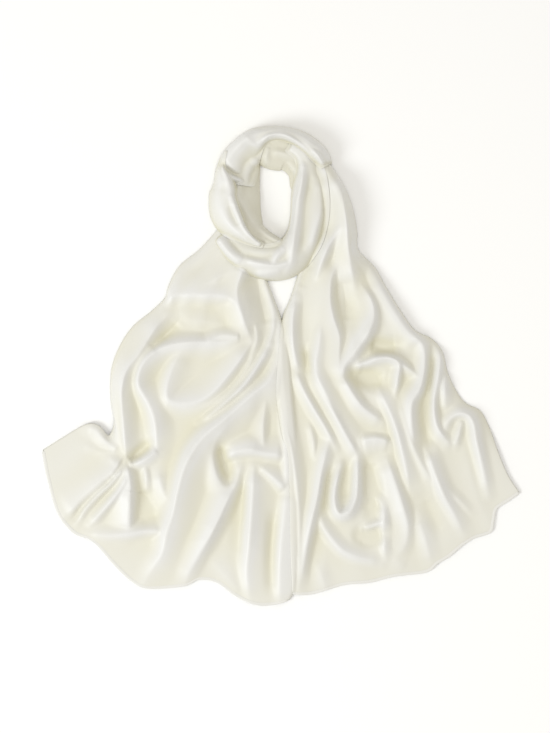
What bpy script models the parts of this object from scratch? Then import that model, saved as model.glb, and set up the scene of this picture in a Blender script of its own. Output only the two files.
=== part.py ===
"""An evening stole of plain ivory satin, wound once round into a neck loop and laid out, both ends fanned.

Metres, +Z up. The cloth lies on the plane Z = 0, the two ends run towards -Y, and the origin is the middle
of the ground that the stole covers. Run it with: blender --background --python part.py
"""

from collections import namedtuple

import bmesh
import bpy
import numpy as np
from mathutils import Vector
from mathutils.bvhtree import BVHTree

# ---------------------------------------------------------------- driving sizes
CLOTH = 0.0016  # the wall of satin
HEM_CLOTH = 0.0022  # the end hems, where the satin is turned twice
HEM_WIDTH = 0.0050
SEAM_GAP = 0.0005  # air between a panel and its hem
LAY_GAP = 0.0010  # air between one layer and the next
CREST = 0.004  # roundness of a fold's crest
BLEND = 3.0  # how sharply folds that cross give way to the higher one

CORE_HEIGHT = 0.016  # the folded layers that the loop hides
CORE_HALF_WIDTH = 0.015
CORE_SAMPLES = 32
CORE_STEPS = 8
WELD = 0.00005

BODY_RISE = 0.006  # how far the cloth stands off the ground at the neck, falling to nothing at the hem
END_FLATTEN = 0.45  # how much of a fold's rise is gone at the hem
END_FLAT_FROM = 0.8
ROLL_FADE = 0.08
LEFT_OUTER_ROLL = (0.016, 0.70)
LEFT_INNER_ROLL = (0.010, 0.95)
RIGHT_INNER_ROLL = (0.008, 0.95)
RIGHT_OUTER_ROLL = (0.014, 0.80)
ARCH_SQUARENESS = 2.4  # 2 makes a half ellipse over a stretch of the loop, and more makes it squarer

REACH = 0.010  # how far round a point lay_over looks, which is a face's diagonal
SKY = 1.0

IVORY = (0.86, 0.84, 0.77, 1.0)
INNER_IVORY = (0.78, 0.76, 0.68, 1.0)  # the stretches in the loop's shade
SATIN_ROUGHNESS = 0.38

# A fold's crest runs along path; the cloth falls away from it over width.
# rise is the crest's height over the cloth round it at the start, middle and end of the path.
Fold = namedtuple("Fold", "name path width rise")

# A stretch of the loop: a station's place along the centre line, its half width and its height.
Station = namedtuple("Station", "x y half_width height")

# A pleat on a stretch: its place across at the start and the end, from -1 to 1, its half width and rise.
Pleat = namedtuple("Pleat", "start end width rise")

# ---------------------------------------------------------------- left end of the stole
LEFT_OUTER = (
    (-0.097, 0.193), (-0.122, 0.175), (-0.152, 0.150), (-0.168, 0.121), (-0.174, 0.102), (-0.194, 0.082),
    (-0.222, 0.059), (-0.242, 0.029), (-0.254, -0.006), (-0.255, -0.048), (-0.250, -0.082),
    (-0.258, -0.104), (-0.272, -0.090), (-0.291, -0.087), (-0.325, -0.106), (-0.3585, -0.127),
)
LEFT_INNER = (
    (-0.034, 0.142), (-0.019, 0.124), (-0.010, 0.099), (0.001, 0.069), (0.006, 0.024),
    (0.009, -0.051), (0.013, -0.126), (0.017, -0.201), (0.018, -0.276), (0.012, -0.352),
)
LEFT_NECK = ((-0.097, 0.193), (-0.072, 0.163), (-0.034, 0.142))
LEFT_HEM = (
    (-0.3585, -0.127), (-0.350, -0.171), (-0.335, -0.220), (-0.312, -0.250), (-0.287, -0.260),
    (-0.272, -0.273), (-0.250, -0.299), (-0.224, -0.323), (-0.197, -0.334), (-0.145, -0.330),
    (-0.123, -0.321), (-0.096, -0.325), (-0.065, -0.347), (-0.035, -0.3585), (-0.010, -0.358), (0.012, -0.352),
)
LEFT_FOLDS = (
    Fold("outer roll", ((-0.154, 0.108), (-0.211, 0.057), (-0.237, 0.002), (-0.234, -0.096)),
         0.014, (0.010, 0.017, 0.010)),
    Fold("inner arc", ((-0.181, 0.061), (-0.217, 0.006), (-0.231, -0.141)), 0.010, (0.006, 0.012, 0.010)),
    Fold("great arc", ((-0.052, 0.051), (-0.114, 0.042), (-0.174, 0.024), (-0.207, -0.013), (-0.184, -0.129)),
         0.012, (0.008, 0.017, 0.010)),
    Fold("oval loop", ((-0.147, 0.024), (-0.167, -0.029), (-0.148, -0.056), (-0.104, -0.036), (-0.046, 0.036)),
         0.010, (0.006, 0.013, 0.010)),
    Fold("main diagonal", ((-0.022, 0.032), (-0.054, -0.029), (-0.114, -0.088), (-0.144, -0.144),
                           (-0.164, -0.224), (-0.190, -0.310)), 0.012, (0.012, 0.022, 0.008)),
    Fold("second diagonal", ((-0.009, -0.009), (-0.057, -0.051), (-0.088, -0.088)), 0.010,
         (0.008, 0.013, 0.006)),
    Fold("shelf", ((-0.035, -0.073), (-0.068, -0.123), (-0.029, -0.131), (0.004, -0.138)), 0.011,
         (0.010, 0.015, 0.006)),
    Fold("left spill", ((-0.065, -0.153), (-0.088, -0.224), (-0.134, -0.314)), 0.011, (0.010, 0.015, 0.006)),
    Fold("centre spill", ((-0.037, -0.156), (-0.037, -0.231), (-0.032, -0.348)), 0.013,
         (0.012, 0.016, 0.010)),
    Fold("neck gather", ((-0.045, 0.135), (-0.015, 0.081), (-0.019, 0.032)), 0.009, (0.006, 0.010, 0.006)),
    Fold("top fold", ((-0.158, 0.104), (-0.114, 0.105), (-0.068, 0.096)), 0.012, (0.005, 0.012, 0.008)),
    Fold("flap pleat", ((-0.231, -0.144), (-0.264, -0.189), (-0.301, -0.231)), 0.009, (0.010, 0.011, 0.005)),
    Fold("drop", ((-0.225, -0.153), (-0.225, -0.201), (-0.230, -0.246)), 0.010, (0.010, 0.013, 0.005)),
    Fold("low shelf", ((-0.270, -0.251), (-0.230, -0.251), (-0.177, -0.251)), 0.010, (0.004, 0.010, 0.008)),
)

# ---------------------------------------------------------------- right end of the stole
RIGHT_INNER = (
    (0.056, 0.297), (0.067, 0.249), (0.064, 0.201), (0.043, 0.163), (0.029, 0.144), (0.022, 0.126),
    (0.013, 0.099), (0.003, 0.075), (-0.003, 0.032), (-0.007, -0.044), (0.001, -0.104), (0.010, -0.129),
    (0.013, -0.201), (0.014, -0.276), (0.017, -0.343),
)
RIGHT_OUTER = (
    (0.075, 0.301), (0.096, 0.267), (0.108, 0.234), (0.114, 0.201), (0.116, 0.174), (0.141, 0.147),
    (0.158, 0.117), (0.177, 0.086), (0.200, 0.054), (0.225, 0.041), (0.242, 0.021), (0.250, -0.010),
    (0.263, -0.038), (0.277, -0.056), (0.299, -0.068), (0.313, -0.094), (0.326, -0.130), (0.341, -0.165),
    (0.3585, -0.191),
)
RIGHT_NECK = ((0.056, 0.297), (0.066, 0.301), (0.075, 0.301))
RIGHT_HEM = (
    (0.017, -0.343), (0.044, -0.343), (0.073, -0.335), (0.099, -0.328), (0.134, -0.325), (0.171, -0.316),
    (0.218, -0.310), (0.235, -0.297), (0.253, -0.286), (0.272, -0.270), (0.290, -0.259), (0.315, -0.250),
    (0.320, -0.232), (0.324, -0.215), (0.340, -0.204), (0.3585, -0.191),
)
RIGHT_FOLDS = (
    Fold("side band", ((0.080, 0.282), (0.096, 0.227), (0.096, 0.174), (0.104, 0.121)), 0.013,
         (0.016, 0.022, 0.010)),
    Fold("bright gather", ((0.084, 0.205), (0.071, 0.174), (0.056, 0.123)), 0.010, (0.010, 0.014, 0.006)),
    Fold("left panel", ((0.032, 0.120), (0.046, 0.054), (0.059, -0.009)), 0.014, (0.010, 0.012, 0.008)),
    Fold("facet", ((0.137, 0.102), (0.119, 0.036), (0.091, -0.015)), 0.012, (0.008, 0.018, 0.010)),
    Fold("outer ridge", ((0.167, 0.100), (0.203, 0.040), (0.212, 0.000), (0.197, -0.054), (0.201, -0.114)),
         0.012, (0.008, 0.017, 0.008)),
    Fold("swirl", ((0.106, 0.003), (0.151, 0.015), (0.174, -0.006), (0.167, -0.044)), 0.010,
         (0.006, 0.013, 0.006)),
    Fold("middle ridge", ((0.148, -0.039), (0.168, -0.104), (0.192, -0.174)), 0.011, (0.008, 0.015, 0.006)),
    Fold("swirl rim", ((0.095, -0.021), (0.121, -0.063), (0.156, -0.088)), 0.010, (0.010, 0.012, 0.006)),
    Fold("long diagonal", ((0.026, -0.009), (0.061, -0.081), (0.101, -0.135)), 0.010, (0.008, 0.013, 0.006)),
    Fold("low ridge", ((0.068, -0.120), (0.054, -0.186), (0.035, -0.318)), 0.011, (0.010, 0.016, 0.008)),
    Fold("hook", ((0.113, -0.138), (0.108, -0.186), (0.088, -0.221), (0.075, -0.198), (0.083, -0.153)),
         0.010, (0.008, 0.014, 0.006)),
    Fold("bowl rim", ((0.060, -0.224), (0.081, -0.269), (0.137, -0.291)), 0.010, (0.006, 0.012, 0.005)),
    Fold("low curve", ((0.154, -0.156), (0.186, -0.219), (0.186, -0.273)), 0.011, (0.008, 0.014, 0.006)),
    Fold("side fold", ((0.238, -0.006), (0.231, -0.044), (0.247, -0.108)), 0.010, (0.006, 0.013, 0.008)),
    Fold("corner fold", ((0.278, -0.079), (0.289, -0.111), (0.305, -0.174), (0.311, -0.205)), 0.010,
         (0.006, 0.013, 0.006)),
    Fold("end fold", ((0.239, -0.174), (0.259, -0.216), (0.272, -0.250)), 0.010, (0.006, 0.011, 0.006)),
    Fold("lapped edge", ((0.010, 0.058), (0.006, -0.036), (0.014, -0.111), (0.024, -0.201), (0.028, -0.333)),
         0.010, (0.008, 0.012, 0.008)),
)

# ---------------------------------------------------------------- the loop
NAPE_DROP = (
    Station(-0.047, 0.309, 0.017, 0.020),
    Station(-0.054, 0.282, 0.0225, 0.021),
    Station(-0.058, 0.255, 0.0265, 0.021),
    Station(-0.055, 0.229, 0.025, 0.021),
    Station(-0.044, 0.2035, 0.020, 0.022),
    Station(-0.027, 0.191, 0.0145, 0.023),
    Station(-0.0085, 0.1825, 0.011, 0.023),
    Station(0.005, 0.179, 0.007, 0.021),
)
NAPE_DROP_PLEATS = (Pleat(-0.3, 0.2, 0.25, 0.003),)
NAPE_UNDER = (
    Station(-0.047, 0.317, 0.0165, 0.014),
    Station(-0.030, 0.3195, 0.019, 0.018),
    Station(-0.011, 0.315, 0.021, 0.020),
    Station(0.012, 0.309, 0.0195, 0.018),
    Station(0.0255, 0.291, 0.0155, 0.012),
    Station(0.027, 0.265, 0.013, 0.008),
)
NAPE_UNDER_PLEATS = (Pleat(-0.1, -0.3, 0.25, 0.003),)
FRONT_COWL = (
    Station(-0.090, 0.196, 0.013, 0.022),
    Station(-0.065, 0.170, 0.020, 0.026),
    Station(-0.0285, 0.156, 0.026, 0.030),
    Station(0.006, 0.159, 0.0285, 0.032),
    Station(0.0315, 0.1845, 0.0285, 0.033),
    Station(0.042, 0.219, 0.0285, 0.033),
    Station(0.043, 0.2565, 0.0275, 0.032),
    Station(0.038, 0.2895, 0.018, 0.030),
    Station(0.027, 0.312, 0.010, 0.027),
    Station(0.0075, 0.3255, 0.008, 0.024),
)
FRONT_COWL_PLEATS = (
    Pleat(-0.5, -0.62, 0.17, 0.005),
    Pleat(0.0, -0.1, 0.20, 0.004),
    Pleat(0.55, 0.55, 0.18, 0.005),
)
NAPE_OVER = (
    Station(-0.0655, 0.2695, 0.027, 0.024),
    Station(-0.0619, 0.3015, 0.030, 0.028),
    Station(-0.052, 0.321, 0.025, 0.035),
    Station(-0.0375, 0.3375, 0.019, 0.037),
    Station(-0.0195, 0.3455, 0.013, 0.037),
    Station(0.0015, 0.3465, 0.012, 0.037),
    Station(0.0225, 0.3405, 0.0135, 0.036),
    Station(0.042, 0.3285, 0.015, 0.035),
    Station(0.057, 0.3135, 0.015, 0.032),
    Station(0.068, 0.297, 0.011, 0.027),
)
NAPE_OVER_PLEATS = (Pleat(0.3, 0.1, 0.25, 0.003),)
LEFT_TURN = (
    Station(-0.0822, 0.3195, 0.004, 0.016),
    Station(-0.0878, 0.3045, 0.006, 0.024),
    Station(-0.0893, 0.291, 0.009, 0.033),
    Station(-0.0859, 0.276, 0.0155, 0.038),
    Station(-0.085, 0.2625, 0.0203, 0.038),
    Station(-0.0863, 0.2505, 0.0215, 0.038),
    Station(-0.0825, 0.2295, 0.0235, 0.038),
    Station(-0.072, 0.2093, 0.021, 0.038),
    Station(-0.0555, 0.1935, 0.0125, 0.037),
    Station(-0.0405, 0.1838, 0.007, 0.035),
    Station(-0.026, 0.178, 0.004, 0.033),
)
LEFT_TURN_PLEATS = (Pleat(0.1, 0.0, 0.30, 0.004),)
CORE = (
    (-0.066, 0.262), (-0.061, 0.217), (-0.041, 0.182), (-0.008, 0.167), (0.025, 0.187), (0.042, 0.227),
    (0.042, 0.264), (0.028, 0.299), (0.000, 0.324), (-0.034, 0.324), (-0.058, 0.300),
)

END_COLUMNS = 24  # faces across an end of the stole
END_ROWS = 27  # faces along it
BAND_COLUMNS = 8  # faces across a stretch of the loop
BAND_STEP = 0.0100  # length of a face along it
CURVE_STEPS = 16  # points between two given ones, before a curve is spaced out evenly
FOLD_STEPS = 24  # points along a fold's crest


# ---------------------------------------------------------------- curves and surfaces
def smooth_curve(points, count):
    """count points evenly spaced along a smooth curve through the given ones."""
    knots = np.array(points, float)
    padded = np.vstack([2 * knots[0] - knots[1], knots, 2 * knots[-1] - knots[-2]])
    t = np.linspace(0, 1, CURVE_STEPS, endpoint=False)[:, None]
    spans = []
    for a, b, c, d in zip(padded, padded[1:], padded[2:], padded[3:]):
        cubic = (2 * a - 5 * b + 4 * c - d) * t**2 + (3 * b - a - 3 * c + d) * t**3
        spans.append(0.5 * (2 * b + (c - a) * t + cubic))
    line = np.vstack([*spans, knots[-1:]])
    along = run_of(line)
    at = np.linspace(0, along[-1], count)
    return np.stack([np.interp(at, along, line[:, k]) for k in range(line.shape[1])], axis=1)


def run_of(line):
    """The length of a plan curve up to each of its points."""
    steps = np.linalg.norm(np.diff(line[:, :2], axis=0), axis=1)
    return np.concatenate([[0], np.cumsum(steps)])


def left_of(line):
    """The unit vector to the left of a plan curve, at each of its points."""
    run = np.gradient(line[:, :2], axis=0)
    run /= np.linalg.norm(run, axis=1)[:, None]
    return np.stack([-run[:, 1], run[:, 0]], axis=1)


def patch(start, end, first, last):
    """Plan points of a panel between its two ends (start, end) and its two sides (first, last), in rows."""
    v = np.linspace(0, 1, len(first))[:, None, None]
    u = np.linspace(0, 1, len(start))[None, :, None]
    ends = (1 - v) * start[None] + v * end[None]
    sides = (1 - u) * first[:, None] + u * last[:, None]
    near = (1 - u) * start[0] + u * start[-1]
    far = (1 - u) * end[0] + u * end[-1]
    return ends + sides - (1 - v) * near - v * far


def fold_rise(plan, folds):
    """How far the folds lift the cloth at each plan point. Where two cross, the higher one wins smoothly."""
    total = np.zeros(len(plan))
    each = np.arange(len(plan))
    for fold in folds:
        line = smooth_curve(fold.path, FOLD_STEPS)
        start, step = line[:-1], np.diff(line, axis=0)
        t = np.clip(((plan[:, None] - start) * step).sum(2) / (step**2).sum(1), 0, 1)
        away = np.linalg.norm(plan[:, None] - start - t[..., None] * step, axis=2)
        nearest = away.argmin(1)
        distance = away[each, nearest]
        along = (nearest + t[each, nearest]) / len(step)
        crest = np.interp(along, (0, 0.5, 1), fold.rise)
        fall = np.exp(-(np.sqrt(distance**2 + CREST**2) - CREST) / fold.width)
        total += (crest * fall) ** BLEND
    return total ** (1 / BLEND)


def rolled(distance, radius):
    """0 at a rolled edge and 1 inside it, along a quarter of a circle."""
    inside = np.clip(distance / radius, 0, 1)
    return np.sqrt(1 - (1 - inside) ** 2)


# ---------------------------------------------------------------- objects
def clear_scene():
    for obj in list(bpy.data.objects):
        bpy.data.objects.remove(obj, do_unlink=True)


def satin(name, colour):
    material = bpy.data.materials.new(name + "_satin")
    material.use_nodes = True
    shader = material.node_tree.nodes["Principled BSDF"]
    shader.inputs["Base Color"].default_value = colour
    shader.inputs["Roughness"].default_value = SATIN_ROUGHNESS
    shader.inputs["Metallic"].default_value = 0.0
    return material


def grid_object(name, points, colour, wraps=False):
    """An object of four-sided faces through an array of points in rows. One that wraps has its last row joined
    to its first."""
    rows, columns = points.shape[:2]
    corners = np.arange(rows * columns).reshape(rows, columns)
    below = np.roll(corners, -1, axis=0)
    faces = np.stack([corners[:, :-1], below[:, :-1], below[:, 1:], corners[:, 1:]], axis=2)
    faces = faces if wraps else faces[:-1]
    mesh = bpy.data.meshes.new(name)
    mesh.from_pydata(points.reshape(-1, 3).tolist(), [], faces.reshape(-1, 4).tolist())
    mesh.materials.append(satin(name, colour))
    mesh.shade_smooth()
    obj = bpy.data.objects.new(name, mesh)
    stole.objects.link(obj)
    return obj


def cloth_object(name, points, colour=IVORY, thickness=CLOTH):
    """A wall of cloth about a surface."""
    obj = grid_object(name, points, colour)
    wall = obj.modifiers.new("thickness", "SOLIDIFY")
    wall.thickness = thickness
    wall.offset = 0.0
    bpy.context.view_layer.update()
    return obj


def lay_over(points, below):
    """Raises a surface until it clears the ground and everything that it lies on."""
    graph = bpy.context.evaluated_depsgraph_get()
    trees = [BVHTree.FromObject(obj, graph) for obj in below]
    turns = np.linspace(0, 2 * np.pi, 8, endpoint=False)
    circle = np.stack([np.cos(turns), np.sin(turns)], axis=1)
    around = np.vstack([[[0, 0]], REACH / 2 * circle, REACH * circle])
    raised = points.reshape(-1, 3).copy()
    for point in raised:
        point[2] = max(point[2], CLOTH / 2)
        for x, y in point[:2] + around:
            for tree in trees:
                hit = tree.ray_cast(Vector((x, y, SKY)), Vector((0, 0, -1)))[0]
                if hit is not None:
                    point[2] = max(point[2], hit.z + CLOTH / 2 + LAY_GAP)
    return raised.reshape(points.shape)


# ---------------------------------------------------------------- the pieces
def end_surface(first, last, neck, hem_line, folds, first_roll, last_roll):
    """The surface of one fanned end, from the neck to just short of its hem. A roll gives the roundness of that
    side's fold and how far down it goes, as a share of the length."""
    inset = hem_line + left_of(hem_line) * (HEM_WIDTH + SEAM_GAP)
    sides = [smooth_curve(side, END_ROWS + 1) for side in (first, last)]
    sides[0][-1], sides[1][-1] = inset[0], inset[-1]
    plan = patch(smooth_curve(neck, END_COLUMNS + 1), inset, *sides)
    down = np.linspace(0, 1, END_ROWS + 1)[:, None]
    height = fold_rise(plan.reshape(-1, 2), folds).reshape(plan.shape[:2]) + BODY_RISE * (1 - down)
    for column, (radius, reach) in zip((0, -1), (first_roll, last_roll)):
        from_side = np.linalg.norm(plan - plan[:, column][:, None], axis=2)
        edge = rolled(from_side, radius)
        height *= edge + (1 - edge) * np.clip((down - reach) / ROLL_FADE, 0, 1)
    height *= 1 - END_FLATTEN * np.clip((down - END_FLAT_FROM) / (1 - END_FLAT_FROM), 0, 1)
    return np.dstack([plan, CLOTH / 2 + height])


def hem_surface(panel, hem_line):
    """The narrow strip between a panel's last row and the line of its hem."""
    edge = panel[-1]
    outward = hem_line - edge[:, :2]
    outward /= np.linalg.norm(outward, axis=1)[:, None]
    rise = np.maximum(edge[:, 2], HEM_CLOTH / 2)
    near = np.column_stack([edge[:, :2] + outward * SEAM_GAP, rise])
    far = np.column_stack([hem_line, rise])
    return np.stack([near, far])


def stretch(stations, pleats):
    """The surface of a stretch of the loop: an arch over its centre line, with pleats along it."""
    length = run_of(np.array(stations)[:, :2])[-1]
    line = smooth_curve(stations, round(length / BAND_STEP) + 1)
    across = np.sin(np.linspace(-np.pi / 2, np.pi / 2, BAND_COLUMNS + 1))
    along = np.linspace(0, 1, len(line))
    height = np.tile(line[:, 3:], len(across))
    for pleat in pleats:
        centre = np.interp(along, (0, 1), (pleat.start, pleat.end))[:, None]
        height += pleat.rise * np.exp(-(((across - centre) / pleat.width) ** 2))
    arch = np.sqrt(np.clip(1 - np.abs(across) ** ARCH_SQUARENESS, 0, 1))
    reach = across[None, :, None] * line[:, 2][:, None, None]
    plan = line[:, None, :2] + left_of(line)[:, None] * reach
    return np.dstack([plan, height * arch])


def build_core():
    """The rounded heap of layers inside the loop, flat underneath, with the neck's hole through it."""
    ring = smooth_curve((*CORE, CORE[0]), CORE_SAMPLES + 1)[:-1]
    run = np.roll(ring, -1, axis=0) - np.roll(ring, 1, axis=0)
    run /= np.linalg.norm(run, axis=1)[:, None]
    left = np.stack([-run[:, 1], run[:, 0]], axis=1)
    turn = np.linspace(np.pi, 0, CORE_STEPS + 1)
    reach = np.append(CORE_HALF_WIDTH * np.cos(turn), -CORE_HALF_WIDTH)
    rise = np.append(CORE_HEIGHT * np.sin(turn), 0)
    rise[CORE_STEPS] = 0
    plan = ring[:, None] + left[:, None] * reach[None, :, None]
    points = np.dstack([plan, np.tile(rise, (len(ring), 1))])
    core = grid_object("folded_core", points, INNER_IVORY, wraps=True)
    shape = bmesh.new()
    shape.from_mesh(core.data)
    bmesh.ops.remove_doubles(shape, verts=shape.verts, dist=WELD)
    bmesh.ops.recalc_face_normals(shape, faces=shape.faces)
    shape.to_mesh(core.data)
    shape.free()
    return core


def build_end(side, first, last, neck, hem, folds, first_roll, last_roll, below):
    """One fanned end and the narrow hem along it."""
    hem_line = smooth_curve(hem, END_COLUMNS + 1)
    panel = end_surface(first, last, neck, hem_line, folds, first_roll, last_roll)
    panel = lay_over(panel, below)
    end = cloth_object(side + "_end", panel)
    hem = cloth_object(side + "_end_hem", hem_surface(panel, hem_line), thickness=HEM_CLOTH)
    return end, hem


def build_stole():
    core = build_core()
    bpy.context.view_layer.update()
    drop = cloth_object("nape_drop", lay_over(stretch(NAPE_DROP, NAPE_DROP_PLEATS), [core]), INNER_IVORY)
    under = cloth_object("nape_under", lay_over(stretch(NAPE_UNDER, NAPE_UNDER_PLEATS), [core, drop]), INNER_IVORY)
    left = build_end("left", LEFT_OUTER, LEFT_INNER, LEFT_NECK, LEFT_HEM, LEFT_FOLDS,
                     LEFT_OUTER_ROLL, LEFT_INNER_ROLL, [core])
    right = build_end("right", RIGHT_INNER, RIGHT_OUTER, RIGHT_NECK, RIGHT_HEM, RIGHT_FOLDS,
                      RIGHT_INNER_ROLL, RIGHT_OUTER_ROLL, [core, *left])
    laid = [core, drop, under, *left, *right]
    for name, stations, pleats in (
        ("front_cowl", FRONT_COWL, FRONT_COWL_PLEATS),
        ("nape_over", NAPE_OVER, NAPE_OVER_PLEATS),
        ("left_turn", LEFT_TURN, LEFT_TURN_PLEATS),
    ):
        laid.append(cloth_object(name, lay_over(stretch(stations, pleats), laid)))


clear_scene()
stole = bpy.data.collections.new("evening_stole")
bpy.context.scene.collection.children.link(stole)
build_stole()
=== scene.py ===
"""An ivory satin evening stole, wound once round into a neck loop and laid out with both ends fanned.

Metres, +Z up. The stole lies on Z = 0 and its two ends run towards -Y.
"""

import math
from collections import namedtuple

import bmesh
import bpy
import numpy as np
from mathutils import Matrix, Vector


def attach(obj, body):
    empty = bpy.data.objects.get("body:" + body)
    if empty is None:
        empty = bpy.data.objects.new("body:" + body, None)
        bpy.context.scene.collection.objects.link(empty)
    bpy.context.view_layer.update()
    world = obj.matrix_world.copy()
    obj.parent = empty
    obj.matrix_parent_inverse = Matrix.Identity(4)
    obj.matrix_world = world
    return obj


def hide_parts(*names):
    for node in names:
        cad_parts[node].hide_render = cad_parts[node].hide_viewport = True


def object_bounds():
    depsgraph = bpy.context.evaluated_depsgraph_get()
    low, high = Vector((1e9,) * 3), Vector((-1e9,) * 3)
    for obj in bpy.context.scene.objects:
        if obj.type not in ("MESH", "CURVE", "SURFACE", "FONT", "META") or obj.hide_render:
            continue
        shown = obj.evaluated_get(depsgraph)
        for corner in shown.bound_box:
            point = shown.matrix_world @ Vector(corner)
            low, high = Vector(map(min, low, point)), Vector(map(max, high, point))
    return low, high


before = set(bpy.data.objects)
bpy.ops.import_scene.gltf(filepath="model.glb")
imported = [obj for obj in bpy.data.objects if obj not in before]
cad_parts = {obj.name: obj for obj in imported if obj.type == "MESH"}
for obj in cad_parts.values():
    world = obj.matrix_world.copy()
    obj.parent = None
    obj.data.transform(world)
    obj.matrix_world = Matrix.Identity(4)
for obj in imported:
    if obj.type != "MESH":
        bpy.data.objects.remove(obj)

cad_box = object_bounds()

# ---------------------------------------------------------------- sizes
SATIN = 0.0008  # the wall of satin
LAY_GAP = 0.0004  # air between one layer and the next
PRESSED_EDGE = 0.004  # how far in from its sides a laid stretch is pressed down
SETTLE = 0.0015  # how softly it comes down on what lies under it
SETTLE_DIP = 0.3  # how far it dips where the two meet, as a share of that

CREST = 0.0009  # roundness of a fold's crest
SPREAD = 1.9  # a fold's foot lies this many widths from its crest
FOOT = 0.03  # how softly a fold meets the cloth at its foot
FALL_POWER = 1.2  # over 1, a fold falls steeply by its crest and gently by its foot
END_SHARE = 0.12  # the share of its path over which a fold fades at either end
END_KEEPS = 0.55  # the share of its rise that it has at the very end
BLEND = 4.0  # how sharply folds that cross give way to the higher one
CURVE_STEPS = 16  # points on a smooth curve between two given ones
CREST_STEPS = 40  # points along a fold's crest

END_LIFT = 0.002  # how far an end stands off the ground everywhere
LOFT = 0.008  # how much more its middle stands off near the neck
LOWEST = 0.0006  # how low the troughs of an end come
TROUGH_ROUND = 0.0022  # roundness of a trough that comes down so low
HEM_DROP = 0.35  # how much lower an end's folds are at its hem, as a share
HEM_SHARE = 0.15  # the share of its length over which they get lower
ROLL_FADE = 0.08  # the share of its length over which a rolled side opens out

PAINTED_SHADE_REACH = 24  # grid points on each side that a hollow is judged against, for the painted shade
LEVEL_PAINTED_SHADE = 0.35  # how far level cloth is towards the painted shade colour
END_PAINTED_SHADE_DEPTH = 0.012  # how far under the cloth round it a hollow of an end takes the full painted shade colour
LOOP_PAINTED_SHADE_DEPTH = 0.009  # the same for the loop

RELIEF_CELL = 0.0015  # a cell of the relief of what is laid so far
RELIEF_MARGIN = 0.02  # how far the relief goes on past the stole

HEM_WIDTH = 0.0050  # of the rolled hem, pressed flat
HEM_THICKNESS = 0.0018
HEM_INSET = 0.6  # hem widths from the hem's outer line to the last row of the panel
HEM_SIDES = 16  # faces round the hem
HEM_CORNER = 0.55  # under 1, the hem's section is squarer than an oval
GROOVE_DEPTH = 0.18  # how far the stitches pull the hem in, as a share of its thickness
GROOVE_PLACE = 0.45  # where they do so, in half widths in from its middle
GROOVE_WIDTH = 0.2
PUCKER = 0.00025  # how far the hem lifts between its stitches
PUCKER_PITCH = 0.011
PUCKER_CHANGE = 61  # how fast the puckers grow and fade along the hem
STITCH_PITCH = 0.0032
STITCH_LENGTH = 0.0020
STITCH_THICKNESS = 0.00030
STITCH_INSET = 0.22  # hem widths from the hem's middle to its stitches
STITCH_HEIGHT = 0.84  # how high they lie, in half thicknesses of the hem

# A fold's crest runs along path. The cloth falls away from it over left and right, as seen along the path.
# rise is the crest's height over the cloth round it at the start, middle and end.
Fold = namedtuple("Fold", "name path left right rise")

# Soft gathers that run down an end from the neck: how many across, how high at the neck and at the hem,
# and how far they wander sideways.
Gather = namedtuple("Gather", "count neck hem wander")

# ---------------------------------------------------------------- the two ends
LEFT_OUTER = (
    (-0.088, 0.212), (-0.122, 0.175), (-0.152, 0.15), (-0.168, 0.121), (-0.174, 0.102), (-0.194, 0.082),
    (-0.222, 0.059), (-0.242, 0.029), (-0.254, -0.006), (-0.255, -0.048), (-0.25, -0.082), (-0.258, -0.104),
    (-0.272, -0.09), (-0.291, -0.087), (-0.325, -0.106), (-0.3585, -0.127),
)
LEFT_INNER = (
    (-0.032, 0.156), (-0.021, 0.128), (-0.01, 0.099), (0.001, 0.069), (0.012, 0.024), (0.018, -0.051),
    (0.025, -0.126), (0.028, -0.201), (0.027, -0.276), (0.022, -0.33), (0.012, -0.352),
)
LEFT_NECK = ((-0.088, 0.212), (-0.066, 0.182), (-0.032, 0.156))
LEFT_HEM = (
    (-0.3585, -0.127), (-0.35, -0.171), (-0.335, -0.22), (-0.312, -0.25), (-0.287, -0.26), (-0.272, -0.273),
    (-0.25, -0.299), (-0.224, -0.323), (-0.197, -0.334), (-0.145, -0.33), (-0.123, -0.321),
    (-0.096, -0.325), (-0.065, -0.347), (-0.035, -0.3585), (-0.01, -0.358), (0.012, -0.352),
)
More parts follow.
